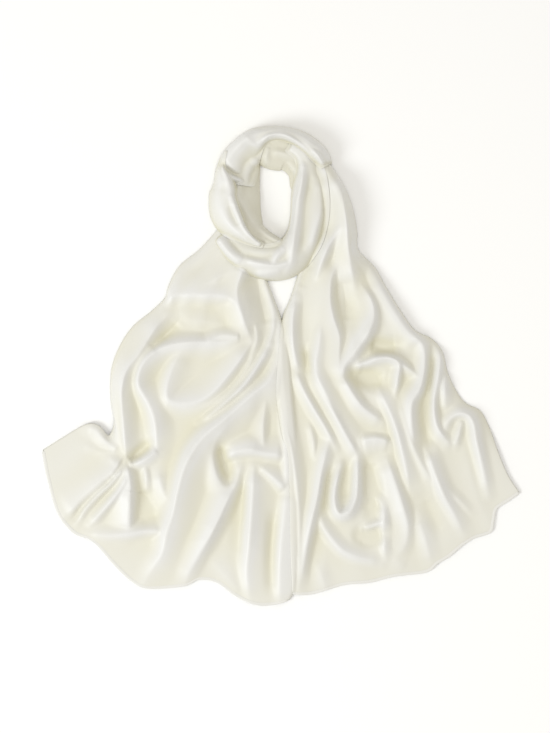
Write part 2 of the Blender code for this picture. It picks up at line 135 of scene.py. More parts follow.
LEFT_FOLDS = (
    Fold("top fold", ((-0.181, 0.095), (-0.154, 0.106), (-0.114, 0.105), (-0.076, 0.101), (-0.06, 0.081),
        (-0.051, 0.048)), 0.021, 0.009, (0.007, 0.0105, 0.0105)),
    Fold("shoulder swell", ((-0.134, 0.114), (-0.101, 0.128), (-0.061, 0.147)),
        0.0135, 0.012, (0.0035, 0.006, 0.0045)),
    Fold("shoulder edge", ((-0.054, 0.15), (-0.065, 0.121), (-0.065, 0.099), (-0.056, 0.069),
        (-0.045, 0.039)), 0.0075, 0.018, (0.0105, 0.0105, 0.009)),
    Fold("throat", ((-0.027, 0.129), (-0.019, 0.105), (-0.012, 0.081), (-0.012, 0.054), (-0.024, 0.021)),
        0.0045, 0.0045, (0.001, 0.0035, 0.006)),
    Fold("throat inner", ((-0.039, 0.066), (-0.036, 0.039), (-0.048, 0.006)),
        0.006, 0.006, (0.0045, 0.007, 0.006)),
    Fold("outer arc", ((-0.173, 0.072), (-0.186, 0.059), (-0.2, 0.037), (-0.213, 0.017), (-0.23, -0.006),
        (-0.237, -0.033), (-0.237, -0.059), (-0.234, -0.096), (-0.231, -0.138)),
        0.012, 0.0135, (0.008, 0.0185, 0.0115)),
    Fold("outer brink", ((-0.221, -0.027), (-0.234, -0.048), (-0.236, -0.072)),
        0.006, 0.006, (0.0045, 0.007, 0.0035)),
    Fold("middle panel", ((-0.147, 0.072), (-0.114, 0.066), (-0.08, 0.06)),
        0.012, 0.0135, (0.001, 0.0035, 0.0025)),
    Fold("great arc", ((-0.051, 0.042), (-0.088, 0.035), (-0.124, 0.035), (-0.154, 0.033), (-0.178, 0.027),
        (-0.198, 0.013), (-0.21, -0.005), (-0.213, -0.027), (-0.201, -0.05), (-0.191, -0.072),
        (-0.186, -0.099), (-0.186, -0.126)), 0.015, 0.009, (0.009, 0.016, 0.0105)),
    Fold("upper panel", ((-0.113, 0.036), (-0.088, 0.045), (-0.059, 0.042)),
        0.009, 0.009, (0.009, 0.0105, 0.009)),
    Fold("oval loop", ((-0.141, 0.029), (-0.156, 0.011), (-0.165, -0.009), (-0.171, -0.033),
        (-0.167, -0.052), (-0.145, -0.057), (-0.119, -0.051), (-0.098, -0.036), (-0.078, -0.013),
        (-0.061, 0.009), (-0.044, 0.035)), 0.018, 0.009, (0.007, 0.0115, 0.0125)),
    Fold("under rim", ((-0.181, -0.059), (-0.145, -0.065), (-0.113, -0.06), (-0.08, -0.041),
        (-0.057, -0.013), (-0.037, 0.021)), 0.006, 0.009, (0.0045, 0.008, 0.008)),
    Fold("upper diagonal", ((-0.017, 0.032), (-0.029, 0.009), (-0.054, -0.027), (-0.086, -0.057),
        (-0.121, -0.086)), 0.0075, 0.006, (0.0105, 0.016, 0.007)),
    Fold("main diagonal", ((-0.005, 0.009), (-0.019, -0.022), (-0.05, -0.048), (-0.083, -0.078),
        (-0.113, -0.102), (-0.132, -0.126), (-0.145, -0.153), (-0.154, -0.186), (-0.161, -0.219),
        (-0.171, -0.249), (-0.177, -0.279), (-0.192, -0.303), (-0.204, -0.324)),
        0.0225, 0.0105, (0.0115, 0.023, 0.008)),
    Fold("brow", ((-0.029, -0.054), (-0.059, -0.069), (-0.084, -0.093), (-0.099, -0.117), (-0.101, -0.141),
        (-0.093, -0.168), (-0.075, -0.189)), 0.0075, 0.0165, (0.007, 0.0105, 0.008)),
    Fold("facet side", ((-0.022, -0.048), (-0.027, -0.087), (-0.026, -0.123)),
        0.006, 0.015, (0.006, 0.009, 0.008)),
    Fold("shelf", ((-0.084, -0.14), (-0.068, -0.129), (-0.044, -0.126), (-0.019, -0.132), (0.005, -0.134)),
        0.0165, 0.0075, (0.0105, 0.015, 0.009)),
    Fold("left spill", ((-0.063, -0.156), (-0.072, -0.181), (-0.083, -0.206), (-0.096, -0.234),
        (-0.11, -0.261), (-0.124, -0.285), (-0.137, -0.309), (-0.144, -0.327)),
        0.009, 0.018, (0.0115, 0.016, 0.007)),
    Fold("centre spill", ((-0.041, -0.153), (-0.044, -0.201), (-0.048, -0.261), (-0.051, -0.309),
        (-0.046, -0.348)), 0.0195, 0.009, (0.0125, 0.016, 0.009)),
    Fold("centre facet", ((-0.032, -0.15), (-0.012, -0.167), (0.006, -0.184)),
        0.012, 0.0075, (0.009, 0.0105, 0.009)),
    Fold("seam ridge", ((0.009, -0.186), (0.005, -0.224), (0.0, -0.269), (-0.002, -0.314), (0.0, -0.355)),
        0.027, 0.0075, (0.008, 0.009, 0.007)),
    Fold("seam bed", ((-0.003, 0.051), (0.0, -0.009), (0.005, -0.066), (0.007, -0.126), (0.009, -0.186)),
        0.024, 0.006, (0.006, 0.007, 0.008)),
    Fold("knot ridge", ((-0.231, -0.145), (-0.213, -0.143), (-0.197, -0.135), (-0.184, -0.124)),
        0.006, 0.0075, (0.0115, 0.0115, 0.009)),
    Fold("drop", ((-0.231, -0.145), (-0.225, -0.174), (-0.225, -0.208), (-0.228, -0.247)),
        0.006, 0.0195, (0.0115, 0.015, 0.009)),
    Fold("little drop", ((-0.204, -0.15), (-0.201, -0.168), (-0.201, -0.188)),
        0.0045, 0.0045, (0.0045, 0.006, 0.0025)),
    Fold("hollow side", ((-0.184, -0.159), (-0.177, -0.183), (-0.168, -0.206), (-0.173, -0.231),
        (-0.177, -0.252)), 0.012, 0.0075, (0.0045, 0.007, 0.007)),
    Fold("low shelf", ((-0.287, -0.251), (-0.257, -0.254), (-0.227, -0.252), (-0.201, -0.247),
        (-0.174, -0.247)), 0.009, 0.006, (0.0045, 0.0105, 0.009)),
    Fold("flap roll", ((-0.237, -0.135), (-0.255, -0.164), (-0.276, -0.186), (-0.3, -0.206),
        (-0.323, -0.222)), 0.006, 0.021, (0.0115, 0.0125, 0.007)),
    Fold("first pleat", ((-0.233, -0.15), (-0.252, -0.173), (-0.273, -0.192), (-0.292, -0.213),
        (-0.306, -0.233)), 0.0045, 0.0045, (0.0125, 0.0125, 0.007)),
    Fold("second pleat", ((-0.227, -0.162), (-0.243, -0.189), (-0.263, -0.213), (-0.284, -0.237)),
        0.0053, 0.0067, (0.0125, 0.0125, 0.007)),
    Fold("flap lobe", ((-0.289, -0.091), (-0.276, -0.096), (-0.263, -0.111), (-0.241, -0.126)),
        0.0075, 0.009, (0.0045, 0.006, 0.007)),
    Fold("flap crease", ((-0.295, -0.119), (-0.269, -0.129), (-0.244, -0.129)),
        0.006, 0.006, (0.001, 0.0025, 0.0045)),
    Fold("spill foot", ((-0.102, -0.291), (-0.08, -0.314), (-0.061, -0.339)),
        0.012, 0.009, (0.0025, 0.0045, 0.0035)),
)
LEFT_TROUGHS = (
    Fold("throat hollow", ((-0.037, 0.138), (-0.029, 0.096), (-0.022, 0.06)),
        0.0135, 0.012, (0.007, 0.011, 0.007)),
    Fold("arc valley", ((-0.154, 0.066), (-0.17, 0.048), (-0.194, 0.024)),
        0.009, 0.009, (0.007, 0.0095, 0.005)),
    Fold("knot wedge", ((-0.197, -0.116), (-0.211, -0.129), (-0.227, -0.143)),
        0.006, 0.006, (0.007, 0.0095, 0.007)),
    Fold("hollow", ((-0.208, -0.186), (-0.204, -0.208), (-0.203, -0.231)),
        0.012, 0.012, (0.007, 0.0095, 0.0085)),
    Fold("brow hollow", ((-0.091, -0.12), (-0.084, -0.147), (-0.075, -0.18)),
        0.009, 0.009, (0.0085, 0.012, 0.0085)),
    Fold("flap valley", ((-0.254, -0.167), (-0.276, -0.188), (-0.297, -0.208), (-0.309, -0.23)),
        0.0037, 0.0037, (0.005, 0.007, 0.007)),
    Fold("spill valley", ((-0.057, -0.171), (-0.06, -0.224), (-0.065, -0.284)),
        0.009, 0.009, (0.005, 0.005, 0.0025)),
    Fold("seam valley", ((-0.012, -0.224), (-0.015, -0.276), (-0.015, -0.336)),
        0.006, 0.006, (0.0035, 0.005, 0.0035)),
)
RIGHT_INNER = (
    (0.04, 0.297), (0.049, 0.249), (0.045, 0.205), (0.034, 0.17), (0.0275, 0.146), (0.022, 0.126),
    (0.013, 0.099), (0.003, 0.075), (-0.003, 0.032), (-0.007, -0.044), (0.001, -0.104), (0.01, -0.129),
    (0.013, -0.201), (0.014, -0.276), (0.017, -0.343),
)
RIGHT_OUTER = (
    (0.075, 0.301), (0.096, 0.267), (0.108, 0.234), (0.114, 0.201), (0.116, 0.174), (0.141, 0.147),
    (0.158, 0.117), (0.177, 0.086), (0.2, 0.054), (0.225, 0.041), (0.242, 0.021), (0.25, -0.01),
    (0.263, -0.038), (0.277, -0.056), (0.299, -0.068), (0.313, -0.094), (0.326, -0.13), (0.341, -0.165),
    (0.3585, -0.191),
)
RIGHT_NECK = ((0.040, 0.297), (0.058, 0.302), (0.075, 0.301))
RIGHT_HEM = (
    (0.017, -0.343), (0.044, -0.343), (0.073, -0.335), (0.099, -0.328), (0.134, -0.325), (0.171, -0.316),
    (0.218, -0.31), (0.235, -0.297), (0.253, -0.286), (0.272, -0.27), (0.29, -0.259), (0.315, -0.25),
    (0.32, -0.232), (0.324, -0.215), (0.34, -0.204), (0.3585, -0.191),
)
RIGHT_FOLDS = (
    Fold("side band", ((0.078, 0.288), (0.09, 0.257), (0.096, 0.219), (0.099, 0.181), (0.104, 0.147),
        (0.108, 0.12)), 0.0135, 0.0165, (0.0185, 0.023, 0.009)),
    Fold("lit gather", ((0.093, 0.213), (0.081, 0.195), (0.069, 0.174), (0.059, 0.151), (0.051, 0.124)),
        0.009, 0.009, (0.0115, 0.015, 0.0045)),
    Fold("left crest", ((0.021, 0.099), (0.017, 0.069), (0.018, 0.032), (0.026, -0.009)),
        0.0075, 0.0075, (0.007, 0.0115, 0.007)),
    Fold("kite", ((0.061, 0.072), (0.056, 0.032), (0.051, -0.006), (0.068, -0.045), (0.088, -0.088),
        (0.106, -0.126)), 0.0135, 0.0075, (0.007, 0.0115, 0.007)),
    Fold("panel brink", ((0.084, 0.156), (0.075, 0.129), (0.073, 0.099), (0.078, 0.072), (0.087, 0.042),
        (0.086, 0.009), (0.087, -0.021)), 0.006, 0.021, (0.008, 0.0115, 0.007)),
    Fold("facet", ((0.12, 0.12), (0.135, 0.096), (0.138, 0.072), (0.128, 0.046), (0.11, 0.021),
        (0.095, 0.0), (0.09, -0.024)), 0.0075, 0.0135, (0.007, 0.017, 0.0105)),
    Fold("outer shoulder", ((0.145, 0.132), (0.161, 0.104), (0.178, 0.073), (0.197, 0.05), (0.21, 0.03)),
        0.0075, 0.0195, (0.006, 0.0105, 0.0105)),
    Fold("swirl", ((0.104, -0.002), (0.124, 0.003), (0.144, 0.011), (0.162, 0.012), (0.176, 0.003),
        (0.174, -0.018), (0.17, -0.042)), 0.0045, 0.006, (0.008, 0.015, 0.008)),
    Fold("swirl arm", ((0.167, 0.011), (0.184, 0.0), (0.2, -0.012), (0.21, -0.019)),
        0.006, 0.0075, (0.0105, 0.009, 0.007)),
    Fold("swirl rim", ((0.093, -0.018), (0.104, -0.037), (0.117, -0.056), (0.132, -0.071), (0.151, -0.083)),
        0.006, 0.0105, (0.0105, 0.0115, 0.006)),
    Fold("middle ridge", ((0.145, -0.032), (0.154, -0.051), (0.164, -0.073), (0.173, -0.099),
        (0.18, -0.126), (0.186, -0.151), (0.192, -0.181)), 0.0135, 0.006, (0.006, 0.015, 0.007)),
    Fold("inner diagonal", ((0.177, -0.054), (0.186, -0.088), (0.197, -0.121), (0.211, -0.15),
        (0.228, -0.176)), 0.0075, 0.0075, (0.006, 0.009, 0.0045)),
    Fold("long curl", ((0.204, 0.046), (0.213, 0.024), (0.214, 0.003), (0.211, -0.018), (0.206, -0.035),
        (0.195, -0.054), (0.194, -0.081), (0.198, -0.12)), 0.0075, 0.0105, (0.008, 0.017, 0.009)),
    Fold("side fold", ((0.234, 0.035), (0.239, 0.012), (0.233, -0.018), (0.228, -0.045), (0.228, -0.069),
        (0.234, -0.093), (0.249, -0.114)), 0.006, 0.0075, (0.006, 0.0125, 0.009)),
    Fold("side pleat", ((0.249, -0.009), (0.244, -0.036), (0.246, -0.066)),
        0.0075, 0.006, (0.0045, 0.008, 0.0045)),
    Fold("crown", ((0.243, -0.101), (0.251, -0.081), (0.263, -0.072), (0.278, -0.073), (0.287, -0.087),
        (0.291, -0.111), (0.297, -0.135), (0.304, -0.164), (0.31, -0.192)),
        0.0075, 0.006, (0.007, 0.0125, 0.007)),
    Fold("crown facet", ((0.27, -0.08), (0.266, -0.099), (0.26, -0.12)),
        0.0045, 0.0045, (0.006, 0.007, 0.0045)),
    Fold("end fold", ((0.219, -0.129), (0.23, -0.162), (0.243, -0.194), (0.258, -0.221), (0.273, -0.251)),
        0.0105, 0.006, (0.008, 0.0105, 0.0045)),
    Fold("end crease", ((0.247, -0.183), (0.266, -0.201), (0.284, -0.219)),
        0.006, 0.0045, (0.0035, 0.0045, 0.0025)),
    Fold("left rim", ((0.012, 0.061), (0.003, 0.027), (0.0, -0.013), (-0.002, -0.051), (0.005, -0.084),
        (0.013, -0.114), (0.019, -0.148), (0.024, -0.189), (0.027, -0.231), (0.027, -0.279),
        (0.026, -0.333)), 0.009, 0.0045, (0.007, 0.0105, 0.007)),
    Fold("first diagonal", ((0.021, -0.006), (0.032, -0.033), (0.048, -0.063), (0.066, -0.093),
        (0.08, -0.12)), 0.006, 0.0075, (0.007, 0.0115, 0.007)),
    Fold("second diagonal", ((0.046, -0.015), (0.06, -0.042), (0.08, -0.073), (0.098, -0.105),
        (0.114, -0.135)), 0.006, 0.0075, (0.006, 0.0105, 0.008)),
    Fold("little crest", ((0.042, -0.087), (0.048, -0.111), (0.051, -0.141)),
        0.0045, 0.0045, (0.0035, 0.006, 0.0035)),
    Fold("low ridge", ((0.071, -0.111), (0.065, -0.135), (0.059, -0.165), (0.054, -0.195), (0.046, -0.228),
        (0.039, -0.264), (0.033, -0.3), (0.027, -0.33)), 0.0075, 0.009, (0.0105, 0.015, 0.007)),
    Fold("white patch", ((0.12, -0.111), (0.141, -0.108), (0.162, -0.113)),
        0.0045, 0.015, (0.007, 0.0105, 0.008)),
    Fold("hook", ((0.114, -0.135), (0.114, -0.168), (0.111, -0.198), (0.101, -0.217), (0.087, -0.221),
        (0.08, -0.204), (0.081, -0.18), (0.09, -0.151)), 0.0075, 0.0045, (0.009, 0.014, 0.007)),
    Fold("low curve", ((0.158, -0.141), (0.171, -0.177), (0.181, -0.208), (0.189, -0.239), (0.186, -0.266),
        (0.173, -0.287)), 0.0075, 0.015, (0.009, 0.0125, 0.0045)),
    Fold("small hook", ((0.129, -0.201), (0.14, -0.197), (0.15, -0.206), (0.153, -0.225), (0.153, -0.255),
        (0.156, -0.288)), 0.009, 0.0045, (0.006, 0.0105, 0.006)),
    Fold("lip", ((0.124, -0.244), (0.137, -0.24), (0.151, -0.233)), 0.0037, 0.0037, (0.007, 0.008, 0.009)),
    Fold("bowl rim", ((0.059, -0.222), (0.063, -0.24), (0.075, -0.258), (0.09, -0.275), (0.108, -0.285),
        (0.129, -0.291), (0.15, -0.295)), 0.009, 0.006, (0.007, 0.0105, 0.006)),
    Fold("foot fold", ((0.206, -0.231), (0.216, -0.261), (0.224, -0.291)),
        0.0105, 0.009, (0.0045, 0.007, 0.0045)),
    Fold("foot swell", ((0.167, -0.291), (0.186, -0.301)), 0.012, 0.009, (0.0025, 0.0035, 0.0025)),
    Fold("brink fold", ((0.052, -0.291), (0.061, -0.315), (0.068, -0.336)),
        0.009, 0.009, (0.0025, 0.0045, 0.0035)),
)
RIGHT_TROUGHS = (
    Fold("panel valley", ((0.091, 0.129), (0.096, 0.099), (0.098, 0.066)),
        0.009, 0.009, (0.0035, 0.006, 0.005)),
    Fold("brown pocket", ((0.134, 0.032), (0.153, 0.029), (0.173, 0.03)),
        0.009, 0.009, (0.0085, 0.011, 0.0085)),
    Fold("swirl hollow", ((0.114, -0.012), (0.132, -0.019), (0.15, -0.027)),
        0.0105, 0.0105, (0.012, 0.0155, 0.011)),
    Fold("gather valley", ((0.042, 0.156), (0.035, 0.137), (0.03, 0.117)),
        0.0075, 0.0075, (0.005, 0.006, 0.0035)),
    Fold("kite valley", ((0.035, 0.024), (0.039, 0.006), (0.044, -0.012)),
        0.006, 0.006, (0.005, 0.006, 0.0035)),
    Fold("long valley", ((0.224, 0.024), (0.225, -0.009), (0.221, -0.044), (0.217, -0.081),
        (0.221, -0.126)), 0.006, 0.006, (0.005, 0.006, 0.0035)),
    Fold("hook valley", ((0.129, -0.145), (0.134, -0.174), (0.138, -0.201), (0.138, -0.219)),
        0.0105, 0.009, (0.0095, 0.0155, 0.011)),
    Fold("lip hollow", ((0.12, -0.255), (0.135, -0.257), (0.15, -0.251)),
        0.009, 0.0075, (0.0145, 0.017, 0.0145)),
    Fold("hook pocket", ((0.099, -0.147), (0.096, -0.171), (0.095, -0.198)),
        0.006, 0.006, (0.006, 0.0085, 0.007)),
    Fold("brow valley", ((0.073, -0.156), (0.068, -0.186), (0.065, -0.216)),
        0.006, 0.006, (0.005, 0.006, 0.005)),
    Fold("low valley", ((0.056, -0.246), (0.05, -0.284), (0.045, -0.318)),
        0.0075, 0.0075, (0.0035, 0.005, 0.0025)),
    Fold("end valley", ((0.216, -0.201), (0.228, -0.224), (0.239, -0.246)),
        0.009, 0.009, (0.0035, 0.005, 0.0035)),
)

# ---------------------------------------------------------------- the loop
# The loop's stretches. Each row is a place on the centre line, then the half width, the height, the lean
# and the tuck. The lean is how much higher the cloth stands on the left than on the right, as seen along
# the stretch. The tuck is 1 or -1 where the left or right edge runs on under the stretch above it, and 0
# where both turn down.
NAPE_DROP = (
    (-0.0470, 0.309, 0.0170, 0.008, -0.2, -1),
    (-0.0540, 0.282, 0.0225, 0.012, -0.2, -1),
    (-0.0580, 0.255, 0.0265, 0.020, -0.2, -1),
    (-0.0550, 0.229, 0.0250, 0.021, -0.2, -1),
    (-0.0440, 0.2035, 0.0200, 0.022, -0.1, -1),
    (-0.0270, 0.1910, 0.0145, 0.023, 0.0, -1),
    (-0.0085, 0.1825, 0.0110, 0.023, 0.0, -1),
    (0.0050, 0.1790, 0.0070, 0.021, 0.0, -1),
)
NAPE_UNDER = (
    (-0.0470, 0.3190, 0.0185, 0.013, 0.2, 1),
    (-0.0300, 0.3220, 0.0215, 0.018, 0.2, 1),
    (-0.0110, 0.3185, 0.0245, 0.020, 0.2, 1),
    (0.0120, 0.3120, 0.0225, 0.018, 0.2, 1),
    (0.0255, 0.291, 0.0155, 0.012, 0.3, 1),
    (0.0270, 0.265, 0.0130, 0.008, 0.4, 1),
)
FRONT_COWL = (
    (-0.0900, 0.196, 0.013, 0.022, -0.1, 1),
    (-0.0650, 0.170, 0.020, 0.026, -0.1, 1),
    (-0.0285, 0.156, 0.026, 0.030, 0.0, 0.3),
    (0.0060, 0.159, 0.0285, 0.032, 0.15, 0),
    (0.0315, 0.1840, 0.0280, 0.033, 0.25, 0),
    (0.0422, 0.218, 0.0287, 0.032, 0.3, 0),
    (0.0437, 0.2565, 0.0280, 0.031, 0.3, 0),
    (0.0420, 0.2915, 0.0220, 0.029, 0.2, 0),
    (0.0300, 0.3140, 0.0130, 0.028, 0.0, 0),
    (0.0100, 0.3275, 0.0100, 0.026, 0.0, 0),
)
NAPE_OVER = (
    (-0.0655, 0.2695, 0.0270, 0.027, 0.6, 0),
    (-0.0619, 0.3015, 0.0300, 0.031, 0.6, 0),
    (-0.0520, 0.321, 0.0250, 0.035, 0.25, 0),
    (-0.0375, 0.3375, 0.0190, 0.037, -0.15, 0),
    (-0.0195, 0.3455, 0.0130, 0.037, -0.35, 0),
    (0.0015, 0.3465, 0.0120, 0.037, -0.35, 0),
    (0.0225, 0.3405, 0.0135, 0.036, -0.3, 0),
    (0.0420, 0.3285, 0.0150, 0.035, -0.2, 0),
    (0.0570, 0.3135, 0.0150, 0.032, -0.1, 0),
    (0.0680, 0.297, 0.0110, 0.022, 0.0, 0),
)
LEFT_TURN = (
    (-0.0822, 0.3195, 0.0030, 0.012, 0.2, 0),
    (-0.0878, 0.3045, 0.0055, 0.022, 0.3, 0),
    (-0.0893, 0.2910, 0.0090, 0.033, 0.35, 0),
    (-0.0859, 0.2760, 0.0154, 0.038, 0.35, 0),
    (-0.0850, 0.2625, 0.0203, 0.038, 0.35, 0),
    (-0.0863, 0.2505, 0.0215, 0.038, 0.35, 0),
    (-0.0825, 0.2295, 0.0235, 0.038, 0.35, 0),
    (-0.0720, 0.2093, 0.0210, 0.038, 0.3, 0),
    (-0.0555, 0.1935, 0.0125, 0.037, 0.2, 0),
    (-0.0405, 0.1838, 0.0070, 0.035, 0.1, 0),
    (-0.0260, 0.1780, 0.0040, 0.033, 0.0, 0),
)
CORE = (
    (-0.066, 0.262), (-0.061, 0.217), (-0.041, 0.182), (-0.008, 0.167), (0.025, 0.187), (0.042, 0.227),
    (0.042, 0.264), (0.028, 0.299), (0.000, 0.324), (-0.034, 0.324), (-0.058, 0.300),
)
COWL_FOLDS = (
    Fold("inner stripe", ((0.033, 0.294), (0.029, 0.264), (0.022, 0.241), (0.019, 0.211), (0.018, 0.181),
        (0.015, 0.156), (0.009, 0.141)), 0.0053, 0.0045, (0.0065, 0.008, 0.005)),
    Fold("middle stripe", ((0.057, 0.276), (0.06, 0.249), (0.059, 0.227), (0.052, 0.201), (0.045, 0.174)),
        0.006, 0.006, (0.0065, 0.008, 0.005)),
    Fold("low stripe", ((-0.051, 0.158), (-0.029, 0.151), (-0.006, 0.148), (0.015, 0.153)),
        0.0045, 0.0045, (0.003, 0.005, 0.005)),
    Fold("hem stripe", ((-0.037, 0.134), (-0.019, 0.137), (0.0, 0.143)),
        0.0045, 0.0045, (0.005, 0.005, 0.003)),
    Fold("cross stripe", ((0.005, 0.178), (-0.007, 0.162), (-0.013, 0.144)),
        0.0045, 0.0045, (0.003, 0.005, 0.003)),
    Fold("band under", ((-0.095, 0.189), (-0.08, 0.17), (-0.061, 0.15)),
        0.0075, 0.0075, (0.005, 0.008, 0.0065)),
)
COWL_TROUGHS = (
    Fold("inner groove", ((0.042, 0.275), (0.037, 0.241), (0.035, 0.207), (0.032, 0.174)),
        0.006, 0.006, (0.003, 0.004, 0.003)),
    Fold("outer groove", ((0.066, 0.252), (0.068, 0.216), (0.059, 0.186)),
        0.003, 0.003, (0.002, 0.003, 0.002)),
    Fold("low groove", ((-0.052, 0.165), (-0.032, 0.162), (-0.011, 0.165)),
        0.0045, 0.0045, (0.002, 0.003, 0.003)),
    Fold("band crease", ((-0.098, 0.204), (-0.076, 0.186), (-0.057, 0.165)),
        0.003, 0.003, (0.002, 0.002, 0.001)),
)
TURN_FOLDS = (
    Fold("inner stripe", ((-0.071, 0.249), (-0.065, 0.23), (-0.054, 0.21), (-0.042, 0.195),
        (-0.029, 0.189)), 0.0045, 0.0045, (0.005, 0.0065, 0.005)),
    Fold("shoulder", ((-0.083, 0.285), (-0.093, 0.261), (-0.093, 0.237), (-0.08, 0.213), (-0.056, 0.189)),
        0.009, 0.009, (0.003, 0.005, 0.003)),
)
TURN_TROUGHS = (
    Fold("dimple", ((-0.075, 0.239), (-0.071, 0.222), (-0.063, 0.207)),
        0.006, 0.006, (0.003, 0.004, 0.003)),
    Fold("sweep", ((-0.052, 0.189), (-0.035, 0.183), (-0.019, 0.183)),
        0.0045, 0.0045, (0.001, 0.002, 0.001)),
)
OVER_FOLDS = (
    Fold("outer ridge", ((-0.071, 0.315), (-0.051, 0.338), (-0.026, 0.35), (0.003, 0.351), (0.029, 0.342),
        (0.052, 0.323)), 0.006, 0.0075, (0.003, 0.005, 0.005)),
    Fold("inner edge", ((-0.029, 0.33), (-0.017, 0.341), (0.0, 0.344), (0.017, 0.335), (0.035, 0.32),
        (0.046, 0.304)), 0.0037, 0.0037, (0.005, 0.005, 0.005)),
    Fold("end crest", ((-0.078, 0.282), (-0.061, 0.276), (-0.044, 0.27)),
        0.0024, 0.0024, (0.0065, 0.008, 0.0065)),
    Fold("end pleat", ((0.046, 0.321), (0.056, 0.309), (0.063, 0.297)),
        0.0037, 0.0037, (0.003, 0.0065, 0.0065)),
)
OVER_TROUGHS = (
    Fold("pocket", ((-0.039, 0.282), (-0.035, 0.304), (-0.029, 0.326)), 0.015, 0.006, (0.007, 0.01, 0.008)),
    Fold("end crease", ((-0.083, 0.3), (-0.078, 0.291), (-0.069, 0.285), (-0.056, 0.281), (-0.044, 0.275),
        (-0.035, 0.269)), 0.003, 0.003, (0.007, 0.008, 0.008)),
)
UNDER_FOLDS = (
    Fold("left edge", ((-0.019, 0.326), (-0.022, 0.312), (-0.022, 0.298)),
        0.0037, 0.0037, (0.003, 0.005, 0.003)),
    Fold("middle fold", ((-0.011, 0.32), (0.011, 0.314), (0.029, 0.303)),
        0.0045, 0.006, (0.003, 0.005, 0.005)),
)
DROP_FOLDS = (
    Fold("fold", ((-0.061, 0.276), (-0.063, 0.255), (-0.052, 0.231), (-0.037, 0.207)),
        0.006, 0.0045, (0.005, 0.005, 0.003)),
)
CORE_HEIGHT = 0.016
CORE_HALF_WIDTH = 0.015
CORE_LAYERS = 4  # folded layers that show at the core's edge
CORE_DENT = 0.20  # how deep the dents between them go, as a share of the half width

LEFT_CUT = ((0.37, 0.52), 0.17)  # width and length of the cloth that shows, and its area
RIGHT_CUT = ((0.36, 0.62), 0.17)
END_COLUMNS = 205  # faces across an end of the stole
END_ROWS = 220  # faces along it
BAND_COLUMNS = 64  # faces across a stretch of the loop
BAND_STEP = 0.0012  # length of a face along it
END_ROLL = 0.008  # how far from its own ends a stretch begins to turn down
END_NARROWS = 0.2  # how much narrower it is at the very end, as a share
SWELL = 0.0006  # slow unevenness of a stretch
GATHERS = (Gather(3, 0.0018, 0.0014, 0.10), Gather(7, 0.0008, 0.0006, 0.16))
GATHER_PITCH = 0.022  # gathers are flat at GATHER_SHUT of this pitch and fully open one more pitch on
GATHER_SHUT = 0.4

# ---------------------------------------------------------------- the studio's sizes
VIEW_CENTRE = (-0.009, -0.001)
VIEW_HEIGHT = 1.0995  # how much of the ground the view takes in along its longer side
CAMERA_HEIGHT = 2.6
Lamp = namedtuple("Lamp", "name place size power colour")
LAMPS = (
    Lamp("overhead softbox", (0.3, 0.1, 3.6), 1.4, 26, (1, 1, 1)),
    Lamp("key softbox", (-3.0, -1.5, 2.6), 1.8, 77, (0.94, 0.975, 1.0)),
)
SURROUND = (1.0, 0.970, 0.905)  # colour of the light from all round
SURROUND_STRENGTH = 0.66
PAPER = (0.95, 0.95, 0.95)


# ---------------------------------------------------------------- curves and surfaces
def smooth_curve(points, count):
    """count points evenly spaced along a smooth curve through the given ones."""
    knots = np.array(points, float)
    padded = np.vstack([2 * knots[0] - knots[1], knots, 2 * knots[-1] - knots[-2]])
    t = np.linspace(0, 1, CURVE_STEPS, endpoint=False)[:, None]
    spans = []
    for a, b, c, d in zip(padded, padded[1:], padded[2:], padded[3:]):
        cubic = (2 * a - 5 * b + 4 * c - d) * t**2 + (3 * b - a - 3 * c + d) * t**3
        spans.append(0.5 * (2 * b + (c - a) * t + cubic))
    line = np.vstack([*spans, knots[-1:]])
    along = run_of(line)
    at = np.linspace(0, along[-1], count)
    return np.stack([np.interp(at, along, line[:, k]) for k in range(line.shape[1])], axis=1)


def run_of(line):
    """The length of a plan curve up to each of its points."""
    steps = np.linalg.norm(np.diff(line[:, :2], axis=0), axis=1)
    return np.concatenate([[0], np.cumsum(steps)])


def left_of(line):
    """The unit vector to the left of a plan curve, at each of its points."""
    run = np.gradient(line[:, :2], axis=0)
    run /= np.linalg.norm(run, axis=1)[:, None]
    return np.stack([-run[:, 1], run[:, 0]], axis=1)


def patch(start, end, first, last):
    """Plan points of a panel between its two ends (start, end) and its two sides (first, last), in rows."""
    v = np.linspace(0, 1, len(first))[:, None, None]
    u = np.linspace(0, 1, len(start))[None, :, None]
    ends = (1 - v) * start[None] + v * end[None]
    sides = (1 - u) * first[:, None] + u * last[:, None]
    near = (1 - u) * start[0] + u * start[-1]
    far = (1 - u) * end[0] + u * end[-1]
    return ends + sides - (1 - v) * near - v * far


